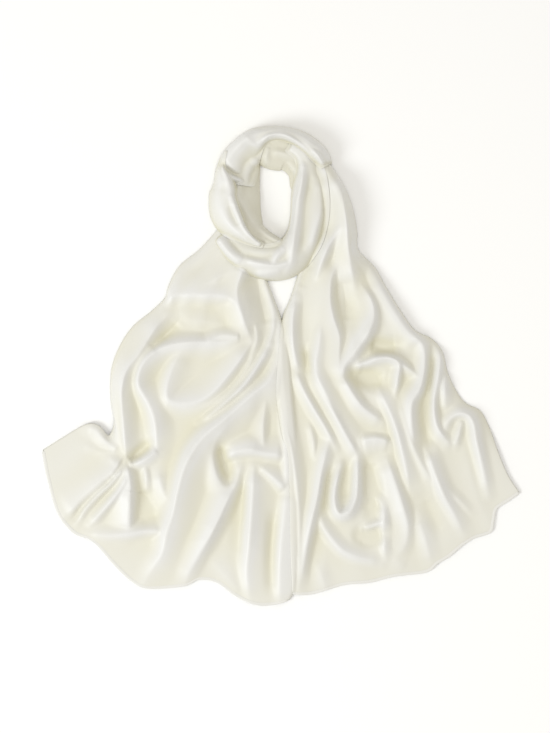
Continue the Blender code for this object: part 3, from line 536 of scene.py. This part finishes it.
def crest_fall(plan, fold):
    """The rise that one fold gives each plan point."""
    line = smooth_curve(fold.path, CREST_STEPS)
    start, step = line[:-1], np.diff(line, axis=0)
    run = (step**2).sum(1)
    best = np.full(len(plan), np.inf)
    along = np.zeros(len(plan))
    across = np.zeros(len(plan))
    for k in range(len(step)):
        offset = plan - start[k]
        t = np.clip(offset @ step[k] / run[k], 0, 1)
        gap = offset - t[:, None] * step[k]
        distance = (gap**2).sum(1)
        nearer = distance < best
        best = np.where(nearer, distance, best)
        along = np.where(nearer, (k + t) / len(step), along)
        cross = (step[k, 0] * offset[:, 1] - step[k, 1] * offset[:, 0]) / math.sqrt(run[k])
        across = np.where(nearer, cross, across)
    distance = np.sqrt(best)
    side = 0.5 + 0.5 * np.clip(across / np.maximum(distance, 1e-9), -1, 1)
    width = fold.right + (fold.left - fold.right) * side
    slope = 1 - (np.sqrt(distance**2 + CREST**2) - CREST) / (SPREAD * width)
    fall = ((slope + np.sqrt(slope**2 + FOOT)) / (1 + math.sqrt(1 + FOOT))) ** FALL_POWER
    ends = np.clip(np.minimum(along, 1 - along) / END_SHARE, 0, 1)
    taper = END_KEEPS + (1 - END_KEEPS) * ends * ends * (3 - 2 * ends)
    return np.interp(along, (0, 0.5, 1), fold.rise) * taper * fall


def rise_of(plan, folds):
    """How far the folds lift the cloth at each plan point. Where two cross, the higher one wins smoothly."""
    total = np.zeros(len(plan))
    for fold in folds:
        total += crest_fall(plan, fold) ** BLEND
    return total ** (1 / BLEND)


def rolled(distance, radius):
    """0 at a rolled edge and 1 inside it, along a quarter of a circle."""
    inside = np.clip(distance / radius, 0, 1)
    return np.sqrt(1 - (1 - inside) ** 2)


def relaxed(height, passes):
    """Evens out a grid of heights, as a cloth's stiffness does."""
    for _ in range(passes):
        padded = np.pad(height, 1, mode="edge")
        around = padded[:-2, 1:-1] + padded[2:, 1:-1] + padded[1:-1, :-2] + padded[1:-1, 2:]
        height = 0.5 * height + 0.125 * around
    return height


def refined(points, times):
    """A grid of points with others spaced evenly between them."""
    for axis in (0, 1):
        count = points.shape[axis]
        at = np.linspace(0, count - 1, (count - 1) * times + 1)
        low = np.minimum(at.astype(int), count - 2)
        share = (at - low).reshape((-1, 1, 1) if axis == 0 else (1, -1, 1))
        points = np.take(points, low, axis) * (1 - share) + np.take(points, low + 1, axis) * share
    return points


class Relief:
    """How high the cloth laid so far stands over the ground."""

    def __init__(self, box):
        self.low = np.array(box[0][:2]) - RELIEF_MARGIN
        size = np.array(box[1][:2]) + RELIEF_MARGIN - self.low
        self.height = np.zeros(tuple((size / RELIEF_CELL).astype(int) + 2))

    def cells(self, plan):
        """The cell of each plan point."""
        return tuple(np.moveaxis(((plan - self.low) / RELIEF_CELL).astype(int), -1, 0))

    def lay(self, points):
        """Adds a surface to what is laid so far."""
        fine = refined(points, 3).reshape(-1, 3)
        np.maximum.at(self.height, self.cells(fine[:, :2]), fine[:, 2] + SATIN / 2)

    def under(self, plan, reach):
        """The height of what lies under each plan point, or within reach of it."""
        grown = self.height
        for _ in range(reach):
            padded = np.pad(grown, 1, mode="edge")
            grown = np.max([padded[1:-1, 1:-1], padded[:-2, 1:-1], padded[2:, 1:-1],
                            padded[1:-1, :-2], padded[1:-1, 2:]], axis=0)
        grown = relaxed(grown, 3)
        at = (plan - self.low) / RELIEF_CELL - 0.5
        low = at.astype(int)
        sx, sy = np.moveaxis(at - low, -1, 0)
        i, j = np.moveaxis(low, -1, 0)
        near = grown[i, j] * (1 - sy) + grown[i, j + 1] * sy
        far = grown[i + 1, j] * (1 - sy) + grown[i + 1, j + 1] * sy
        return near * (1 - sx) + far * sx


def laid_over(points, relief):
    """Raises a surface until it clears the ground and what it lies on, with its side edges pressed down."""
    plan = points[..., :2]
    steps = np.linalg.norm(np.diff(plan, axis=1), axis=2)
    run = np.concatenate([np.zeros((len(plan), 1)), np.cumsum(steps, axis=1)], axis=1)
    pressed = np.clip(1 - np.minimum(run, run[:, -1:] - run) / PRESSED_EDGE, 0, 1)
    clear = relief.under(plan, 1) + LAY_GAP
    rest = np.maximum(clear + (relief.under(plan, 0) - clear) * pressed, 0) + SATIN / 2
    gap = points[..., 2] - rest
    dip = SETTLE * SETTLE_DIP * np.exp(-np.abs(gap) / SETTLE)
    raised = points.copy()
    raised[..., 2] = rest + 0.5 * (gap + np.sqrt(gap**2 + SETTLE**2)) - dip
    return raised


# ---------------------------------------------------------------- objects
def placed(name, data):
    """A new object in the scene."""
    obj = bpy.data.objects.new(name, data)
    bpy.context.scene.collection.objects.link(obj)
    return obj


def grid_object(name, points, lengths, material, wraps=False):
    """An object of four-sided faces through rows of points. Its UV map has the cloth's own lengths."""
    rows, columns = points.shape[:2]
    corners = np.arange(rows * columns).reshape(rows, columns)
    below = np.roll(corners, -1, axis=0)
    faces = np.stack([corners[:, :-1], below[:, :-1], below[:, 1:], corners[:, 1:]], axis=2)
    faces = (faces if wraps else faces[:-1]).reshape(-1, 4)
    mesh = bpy.data.meshes.new(name)
    mesh.from_pydata(points.reshape(-1, 3).tolist(), [], faces.tolist())
    u = np.linspace(0, lengths[0], columns)[None, :].repeat(rows, 0)
    v = np.linspace(0, lengths[1], rows)[:, None].repeat(columns, 1)
    layer = mesh.uv_layers.new(name="cloth")
    layer.data.foreach_set("uv", np.stack([u, v], axis=2).reshape(-1, 2)[faces.reshape(-1)].reshape(-1))
    mesh.materials.append(material)
    mesh.shade_smooth()
    return placed(name, mesh)


def recalculated(obj):
    """Merges doubled points and turns every face outwards."""
    shape = bmesh.new()
    shape.from_mesh(obj.data)
    bmesh.ops.remove_doubles(shape, verts=shape.verts, dist=0.00002)
    bmesh.ops.recalc_face_normals(shape, faces=shape.faces)
    shape.to_mesh(obj.data)
    shape.free()
    return obj


def painted_shade_mask(height, deepest):
    """The painted shade mask: how deep each grid point lies in the folds round it, from 0 on a crest to 1 in
    a deep hollow.
    """
    near = height
    for axis in (0, 1):
        reach = min(PAINTED_SHADE_REACH, height.shape[axis] // 2 - 1)
        window = np.hanning(2 * reach + 3)[1:-1]
        padded = np.pad(near, [(reach, reach) if k == axis else (0, 0) for k in (0, 1)], mode="edge")
        near = np.apply_along_axis(np.convolve, axis, padded, window / window.sum(), "valid")
    return np.clip(LEVEL_PAINTED_SHADE + (near - relaxed(height, 4)) / deepest, 0, 1)


def cloth_object(name, points, lengths, material, deepest):
    """A thin wall of cloth about a surface, with painted shade in its folds. A hollow as low as deepest gets
    the full painted shade colour.
    """
    obj = grid_object(name, points, lengths, material)
    # the painted shade mask, kept on the mesh for the satin's colour
    hollow = obj.data.attributes.new("hollow", "FLOAT", "POINT")
    hollow.data.foreach_set("value", painted_shade_mask(points[..., 2], deepest).reshape(-1))
    wall = obj.modifiers.new("thickness", "SOLIDIFY")
    wall.thickness = SATIN
    wall.offset = 0.0
    return obj


# ---------------------------------------------------------------- satin
def new_node(tree, kind, inputs=None, **settings):
    """A node with its settings and the values of its inputs."""
    node = tree.nodes.new(kind)
    for name, value in settings.items():
        setattr(node, name, value)
    for name, value in (inputs or {}).items():
        node.inputs[name].default_value = value
    return node


def sockets(tree, side, *names):
    """The number inputs or outputs of a group."""
    for name in names:
        tree.interface.new_socket(name, in_out=side, socket_type="NodeSocketFloat")


def wired(tree, *wires):
    """Joins nodes. Each wire is a node and its output, then the next node and its input."""
    for source, output, target, entry in wires:
        tree.links.new(source.outputs[output], target.inputs[entry])


def ramp(tree, first, last):
    """A ramp between two colours, each given as its place and its colour."""
    node = tree.nodes.new("ShaderNodeValToRGB")
    for element, (place, colour) in zip(node.color_ramp.elements, (first, last)):
        element.position = place
        element.color = (*colour, 1)
    return node


def new_material(name, **looks):
    """A material, its node tree and its shader, whose looks are named with _ for a space."""
    material = bpy.data.materials.new(name)
    material.use_nodes = True
    shader = material.node_tree.nodes["Principled BSDF"]
    for look, value in looks.items():
        shader.inputs[look.replace("_", " ")].default_value = value
    return material, material.node_tree, shader


def weave_group():
    """Satin's floats and fine slubs: a height for bump, and a mask of slightly duller threads."""
    group = bpy.data.node_groups.new("satin weave", "ShaderNodeTree")
    sockets(group, "INPUT", "Thread", "Slub")
    sockets(group, "OUTPUT", "Height", "Dull")
    start = new_node(group, "NodeGroupInput")
    end = new_node(group, "NodeGroupOutput")
    cloth = new_node(group, "ShaderNodeUVMap", uv_map="cloth")
    floats = new_node(group, "ShaderNodeTexWave", {"Distortion": 0.6, "Detail": 1.0},
                      wave_type="BANDS", bands_direction="DIAGONAL")
    drawn_out = new_node(group, "ShaderNodeMapping", {"Scale": (1.0, 0.08, 1.0)})
    slubs = new_node(group, "ShaderNodeTexNoise", {"Detail": 2.0})
    mix = new_node(group, "ShaderNodeMath", {1: 0.35}, operation="MULTIPLY_ADD")
    wired(
        group,
        (cloth, "UV", floats, "Vector"),
        (start, "Thread", floats, "Scale"),
        (cloth, "UV", drawn_out, "Vector"),
        (drawn_out, "Vector", slubs, "Vector"),
        (start, "Slub", slubs, "Scale"),
        (slubs, "Fac", mix, 0),
        (floats, "Fac", mix, 2),
        (mix, 0, end, "Height"),
        (slubs, "Fac", end, "Dull"),
    )
    return group


def satin(name, deep, pale, roughness):
    """Ivory satin with painted light and shade: a painted highlight on its crests and painted shade, darker
    and warmer, deep in its folds, over a slightly patchy tone, with a fine weave and a soft broad sheen.
    """
    material, tree, shader = new_material(
        name, Specular_IOR_Level=0.5, Sheen_Weight=0.12, Sheen_Roughness=0.45)
    weave = new_node(tree, "ShaderNodeGroup", {"Thread": 900.0, "Slub": 900.0}, node_tree=satin_weave)
    place = new_node(tree, "ShaderNodeTexCoord")
    clouds = new_node(tree, "ShaderNodeTexNoise", {"Scale": 9.0, "Detail": 3.0})
    # the painted shade mask, read from the mesh; with a little random patchiness it places the colour on the
    # ramp from the painted highlight of the crests (pale) to the painted shade of the folds (deep)
    hollow = new_node(tree, "ShaderNodeAttribute", attribute_name="hollow")
    patchy = new_node(tree, "ShaderNodeMath", {1: 0.25}, operation="MULTIPLY_ADD")
    tone = ramp(tree, (0.15, pale), (1.0, deep))
    dull = new_node(tree, "ShaderNodeMapRange", {"To Min": roughness - 0.05, "To Max": roughness + 0.05})
    bump = new_node(tree, "ShaderNodeBump", {"Strength": 0.25, "Distance": 0.00006})
    wired(
        tree,
        (place, "Object", clouds, "Vector"),
        (clouds, "Fac", patchy, 0),
        (hollow, "Fac", patchy, 2),
        (patchy, 0, tone, "Fac"),
        (tone, "Color", shader, "Base Color"),
        (weave, "Dull", dull, "Value"),
        (dull, "Result", shader, "Roughness"),
        (weave, "Height", bump, "Height"),
        (bump, "Normal", shader, "Normal"),
    )
    return material


def thread(name):
    """Hem thread: a slightly deeper ivory with the twist of its plies."""
    material, tree, shader = new_material(name, Roughness=0.5)
    place = new_node(tree, "ShaderNodeTexCoord")
    plies = new_node(tree, "ShaderNodeTexNoise", {"Scale": 2500.0})
    tone = ramp(tree, (0.0, (0.66, 0.645, 0.575)), (1.0, (0.74, 0.725, 0.655)))
    wired(tree, (place, "Object", plies, "Vector"), (plies, "Fac", tone, "Fac"),
          (tone, "Color", shader, "Base Color"))
    return material


# ---------------------------------------------------------------- the two ends
def gathered(u, v, width, gathers, draw):
    """Soft gathers that run down from the neck and wander. width is the end's own, row by row."""
    height = np.zeros(np.broadcast(u, v).shape)
    for gather in gathers:
        open_share = np.clip(width / gather.count / GATHER_PITCH - GATHER_SHUT, 0, 1)
        phase, drift, slow = draw.uniform(0, 2 * math.pi, 3)
        sway = np.sin(2.3 * math.pi * v + drift) + 0.5 * np.sin(5.1 * math.pi * v + slow)
        size = gather.neck + (gather.hem - gather.neck) * v
        patchy = 0.6 + 0.4 * np.sin(2 * math.pi * (0.8 * v + 1.7 * u) + slow)
        waves = np.sin(2 * math.pi * gather.count * (u + 0.05 * gather.wander * sway) + phase)
        height += size * open_share * patchy * waves
    return height


def end_surface(shape, draw):
    """The surface of one fanned end, from the neck to just inside its hem, and the line of the hem."""
    hem_line = smooth_curve(shape.hem, END_COLUMNS + 1)
    inset = hem_line + left_of(hem_line) * HEM_WIDTH * HEM_INSET
    sides = [smooth_curve(side, END_ROWS + 1) for side in (shape.first, shape.last)]
    sides[0][-1], sides[1][-1] = inset[0], inset[-1]
    plan = patch(smooth_curve(shape.neck, END_COLUMNS + 1), inset, *sides)
    v = np.linspace(0, 1, END_ROWS + 1)[:, None]
    u = np.linspace(0, 1, END_COLUMNS + 1)[None]
    flat = plan.reshape(-1, 2)
    height = rise_of(flat, shape.folds) - rise_of(flat, shape.troughs)
    width = np.linalg.norm(plan[:, -1] - plan[:, 0], axis=1)[:, None]
    height = height.reshape(plan.shape[:2]) + shape.neck_rise * (1 - v) ** 3 + END_LIFT
    height += LOFT * (4 * u * (1 - u)) ** 0.35 * (1 - v) ** 0.6
    height += gathered(u, v, width, GATHERS, draw)
    height = LOWEST + 0.5 * (height - LOWEST + np.sqrt((height - LOWEST) ** 2 + TROUGH_ROUND**2))
    for column, (radius, reach) in zip((0, -1), (shape.first_roll, shape.last_roll)):
        from_side = np.linalg.norm(plan - plan[:, column][:, None], axis=2)
        edge = rolled(from_side, radius)
        height *= edge + (1 - edge) * np.clip((v - reach) / ROLL_FADE, 0, 1)
    height *= 1 - HEM_DROP * np.clip((v - 1 + HEM_SHARE) / HEM_SHARE, 0, 1)
    height = relaxed(height, 1)
    return np.dstack([plan, SATIN / 2 + height]), hem_line


def hem_tube(name, panel, hem_line, material, draw):
    """The rolled hem along an end: a flat tube that wraps the panel's last row and puckers a little."""
    edge = panel[-1]
    outward = hem_line - edge[:, :2]
    outward /= np.linalg.norm(outward, axis=1)[:, None]
    run = run_of(hem_line)
    pucker = np.sin(run * 2 * math.pi / PUCKER_PITCH + draw.uniform(0, 6.28))
    pucker *= PUCKER * (0.5 + 0.5 * np.sin(run * PUCKER_CHANGE))
    rise = np.maximum(edge[:, 2], HEM_THICKNESS / 2) + np.abs(pucker)
    centre = np.column_stack([hem_line - outward * HEM_WIDTH / 2, rise])
    turn = np.linspace(0, 2 * math.pi, HEM_SIDES + 1)
    squared = np.sign(np.cos(turn)) * np.abs(np.cos(turn)) ** HEM_CORNER
    across = HEM_WIDTH / 2 * squared
    groove = GROOVE_DEPTH * np.exp(-((squared + GROOVE_PLACE) / GROOVE_WIDTH) ** 2)
    up = HEM_THICKNESS / 2 * np.sin(turn) * (1 - groove)
    flat = centre[:, None, :2] + outward[:, None] * across[None, :, None]
    points = np.dstack([flat, centre[:, None, 2] + up[None]])
    for side in (0, -1):
        points[side] = points[side].mean(0)
    tube = grid_object(name, points, (2 * HEM_WIDTH, run[-1]), material)
    return recalculated(tube), centre, outward


def stitch_tree(material):
    """A Geometry Nodes tree that sets a short rounded stitch at even spaces along a line."""
    tree = bpy.data.node_groups.new("hem stitches", "GeometryNodeTree")
    tree.interface.new_socket("Geometry", in_out="INPUT", socket_type="NodeSocketGeometry")
    sockets(tree, "INPUT", "Pitch", "Length", "Thickness")
    tree.interface.new_socket("Geometry", in_out="OUTPUT", socket_type="NodeSocketGeometry")
    start = new_node(tree, "NodeGroupInput")
    end = new_node(tree, "NodeGroupOutput")
    line = new_node(tree, "GeometryNodeMeshToCurve")
    points = new_node(tree, "GeometryNodeCurveToPoints", mode="LENGTH")
    ball = new_node(tree, "GeometryNodeMeshIcoSphere", {"Subdivisions": 2, "Radius": 0.5})
    size = new_node(tree, "ShaderNodeCombineXYZ")
    place = new_node(tree, "GeometryNodeInstanceOnPoints")
    real = new_node(tree, "GeometryNodeRealizeInstances")
    paint = new_node(tree, "GeometryNodeSetMaterial", {"Material": material})
    wired(
        tree,
        (start, "Geometry", line, "Mesh"),
        (line, "Curve", points, "Curve"),
        (start, "Pitch", points, "Length"),
        (start, "Thickness", size, "X"),
        (start, "Thickness", size, "Y"),
        (start, "Length", size, "Z"),
        (points, "Points", place, "Points"),
        (points, "Rotation", place, "Rotation"),
        (ball, "Mesh", place, "Instance"),
        (size, "Vector", place, "Scale"),
        (place, "Instances", real, "Geometry"),
        (real, "Geometry", paint, "Geometry"),
        (paint, "Geometry", end, "Geometry"),
    )
    return tree


def hem_stitches(name, centre, outward, tree):
    """The stitches along a hem, as one plain mesh."""
    line = centre[2:-2].copy()
    line[:, :2] -= outward[2:-2] * HEM_WIDTH * STITCH_INSET
    line[:, 2] += HEM_THICKNESS / 2 * STITCH_HEIGHT
    mesh = bpy.data.meshes.new(name + "_line")
    mesh.from_pydata(line.tolist(), [(k, k + 1) for k in range(len(line) - 1)], [])
    guide = placed(name + "_line", mesh)
    sewn = guide.modifiers.new("stitches", "NODES")
    sewn.node_group = tree
    sizes = {"Pitch": STITCH_PITCH, "Length": STITCH_LENGTH, "Thickness": STITCH_THICKNESS}
    for item in tree.interface.items_tree:
        if item.name in sizes:
            sewn[item.identifier] = sizes[item.name]
    bpy.context.view_layer.update()
    whole = bpy.data.meshes.new_from_object(guide.evaluated_get(bpy.context.evaluated_depsgraph_get()))
    bpy.data.objects.remove(guide, do_unlink=True)
    whole.name = name
    whole.shade_smooth()
    return placed(name, whole)


# ---------------------------------------------------------------- the loop
def stretch(stations, folds, troughs, draw):
    """The surface of a stretch of the loop: an arch over its centre line, with the folds that cross it."""
    length = run_of(np.array(stations)[:, :2])[-1]
    line = smooth_curve(stations, round(length / BAND_STEP) + 1)
    across = np.sin(np.linspace(-math.pi / 2, math.pi / 2, BAND_COLUMNS + 1))
    along = np.linspace(0, 1, len(line))[:, None]
    from_end = np.minimum(run_of(line), run_of(line)[-1] - run_of(line))
    turned = rolled(from_end, END_ROLL)
    reach = across[None, :, None] * (line[:, 2] * (1 - END_NARROWS * (1 - turned)))[:, None, None]
    plan = line[:, None, :2] + left_of(line)[:, None] * reach
    flat = plan.reshape(-1, 2)
    lift = (rise_of(flat, folds) - rise_of(flat, troughs)).reshape(plan.shape[:2])
    swell = SWELL * np.sin(9 * across[None] + 3 * along + draw.uniform(0, 6))
    swell = swell * np.sin(7 * along + draw.uniform(0, 6))
    lean = line[:, 4][:, None]
    free = 1 - np.clip(line[:, 5][:, None] * np.sign(across), 0, 1)
    arch = np.sqrt(np.clip(1 - free * np.abs(across) ** 3, 0, 1))
    arch = arch * (1 + lean * across) / (1 + 0.5 * np.abs(lean))
    height = relaxed((line[:, 3][:, None] + lift + swell) * arch * turned[:, None], 2)
    return np.dstack([plan, height])


def cloth_size(surface):
    """The mean girth and length of a surface given in rows, as it would lie flat."""
    girth = np.linalg.norm(np.diff(surface, axis=1), axis=2).sum(1).mean()
    length = np.linalg.norm(np.diff(surface, axis=0), axis=2).sum(0).mean()
    return round(float(girth), 3), round(float(length), 3)


def layered_core(material):
    """The folded layers inside the loop: a ring with rounded folds at both edges, flat underneath."""
    ring = smooth_curve((*CORE, CORE[0]), 161)[:-1]
    run = np.roll(ring, -1, axis=0) - np.roll(ring, 1, axis=0)
    run /= np.linalg.norm(run, axis=1)[:, None]
    left = np.stack([-run[:, 1], run[:, 0]], axis=1)
    rise = np.linspace(0, 1, 33)
    bulge = 1 - CORE_DENT + CORE_DENT * np.sqrt(np.abs(np.sin(CORE_LAYERS * math.pi * rise)))
    side = bulge * np.sqrt(1 - 0.75 * rise**4)
    crown = np.linspace(side[-1], -side[-1], 9)[1:-1]
    reach = CORE_HALF_WIDTH * np.concatenate([side, crown, -side[::-1], [side[0]]])
    height = CORE_HEIGHT * np.concatenate([rise, np.ones(len(crown)), rise[::-1], [0]])
    plan = ring[:, None] + left[:, None] * reach[None, :, None]
    points = np.dstack([plan, np.tile(height, (len(ring), 1))])
    return recalculated(grid_object("core_layers", points, (0.09, 0.5), material, wraps=True))


# An end lies between its first and last side, its neck and its hem. A roll is the radius of a side's rolled
# edge and how far down the end it goes. neck_rise is how much higher the end is at its neck.
End = namedtuple("End", "first last neck hem folds troughs first_roll last_roll neck_rise")
LEFT = End(LEFT_OUTER, LEFT_INNER, LEFT_NECK, LEFT_HEM, LEFT_FOLDS, LEFT_TROUGHS,
           (0.018, 0.70), (0.006, 0.95), 0.004)
RIGHT = End(RIGHT_INNER, RIGHT_OUTER, RIGHT_NECK, RIGHT_HEM, RIGHT_FOLDS, RIGHT_TROUGHS,
            (0.005, 0.95), (0.018, 0.80), 0.009)

satin_weave = weave_group()
# each satin here paints shade in its folds and a highlight on its crests: the first colour is the painted
# shade colour, the second the painted crest colour
end_satin = satin("end satin", (0.705, 0.682, 0.548), (0.755, 0.753, 0.735), 0.45)
# the same satin with a darker painted shade colour, for the deeper shade between the loop's layers
loop_satin_deeper_painted_shade = satin("loop satin deeper painted shade", (0.650, 0.628, 0.490), (0.755, 0.753, 0.735), 0.45)
# a darker, yellower copy of the same satin: painted shade for the stretches that lie in the loop's shade and
# for the hidden core
painted_shade_satin = satin("painted shade satin", (0.600, 0.570, 0.440), (0.700, 0.687, 0.610), 0.50)
hem_satin = satin("hem satin", (0.690, 0.665, 0.560), (0.745, 0.738, 0.700), 0.45)
hem_thread = thread("hem thread")


def finished(piece, slot, *nodes):
    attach(piece, "root")
    if nodes:
        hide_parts(*nodes)


def build_stole():
    """Lays the cloth piece by piece, from the core up."""
    relief = Relief(cad_box)
    draw = np.random.default_rng(7)
    core = layered_core(painted_shade_satin)
    finished(core, "satin_hidden", "folded_core")
    corners = np.array([v.co for v in core.data.vertices])
    np.maximum.at(relief.height, relief.cells(corners[:, :2]), corners[:, 2])
    tree = stitch_tree(hem_thread)

    def band(name, node, slot, material, stations, folds, troughs=()):
        """Lays a stretch of the loop, and gives the piece and its cut."""
        surface = laid_over(stretch(stations, folds, troughs, draw), relief)
        cut = cloth_size(surface)
        piece = cloth_object(name, surface, cut, material, LOOP_PAINTED_SHADE_DEPTH)
        relief.lay(surface)
        finished(piece, slot, node)
        return piece, cut

    def fanned(side, shape, rests_on, flat, area):
        """Lays one end with its hem and stitches."""
        surface, hem_line = end_surface(shape, draw)
        surface = laid_over(surface, relief)
        panel = cloth_object(side + "_fan", surface, flat, end_satin, END_PAINTED_SHADE_DEPTH)
        hem, centre, outward = hem_tube(side + "_rolled_hem", surface, hem_line, hem_satin, draw)
        stitches = hem_stitches(side + "_hem_stitches", centre, outward, tree)
        relief.lay(surface)
        finished(panel, "satin_ends", side + "_end")
        finished(hem, "satin_hem", side + "_end_hem")
        finished(stitches, "satin_hem")

    drop, drop_cut = band(
        "drop_stretch", "nape_drop", "satin_loop_inner", painted_shade_satin, NAPE_DROP, DROP_FOLDS)
    under, under_cut = band(
        "under_stretch", "nape_under", "satin_loop_inner", painted_shade_satin, NAPE_UNDER, UNDER_FOLDS)
    fanned("left", LEFT, [], *LEFT_CUT)
    fanned("right", RIGHT, ["left_fan"], *RIGHT_CUT)
    cowl, cowl_cut = band(
        "cowl_stretch", "front_cowl", "satin_loop", loop_satin_deeper_painted_shade, FRONT_COWL, COWL_FOLDS, COWL_TROUGHS)
    over, over_cut = band(
        "over_stretch", "nape_over", "satin_loop", loop_satin_deeper_painted_shade, NAPE_OVER, OVER_FOLDS, OVER_TROUGHS)
    turn, turn_cut = band(
        "turn_stretch", "left_turn", "satin_loop", loop_satin_deeper_painted_shade, LEFT_TURN, TURN_FOLDS, TURN_TROUGHS)


# ---------------------------------------------------------------- the studio
def floor():
    """A sheet of white paper just under the stole."""
    bpy.ops.mesh.primitive_plane_add(size=12, location=(0, 0, -0.0005))
    ground = bpy.context.object
    ground.name = "studio_floor"
    paper, _, _ = new_material("studio paper", Base_Color=(*PAPER, 1), Roughness=0.9, Specular_IOR_Level=0.1)
    ground.data.materials.append(paper)


def softbox(lamp):
    """A round softbox that faces the stole."""
    light = bpy.data.lights.new(lamp.name, "AREA")
    light.shape = "DISK"
    light.size = lamp.size
    light.energy = lamp.power
    light.color = lamp.colour
    box = placed(lamp.name, light)
    box.location = lamp.place
    box.rotation_euler = (-Vector(lamp.place)).to_track_quat("-Z", "Y").to_euler()


def studio():
    """The paper, the softboxes and the light from all round."""
    floor()
    for lamp in LAMPS:
        softbox(lamp)
    world = bpy.data.worlds.new("studio")
    bpy.context.scene.world = world
    world.use_nodes = True
    surround = world.node_tree.nodes["Background"]
    surround.inputs["Color"].default_value = (*SURROUND, 1)
    surround.inputs["Strength"].default_value = SURROUND_STRENGTH
    bpy.context.scene.view_settings.view_transform = "Standard"


def camera():
    """The view from straight above."""
    lens = bpy.data.cameras.new("camera")
    lens.sensor_width = 36
    lens.lens = 36 * CAMERA_HEIGHT / VIEW_HEIGHT
    eye = placed("camera", lens)
    eye.location = (*VIEW_CENTRE, CAMERA_HEIGHT)
    bpy.context.scene.camera = eye


build_stole()
studio()
camera()
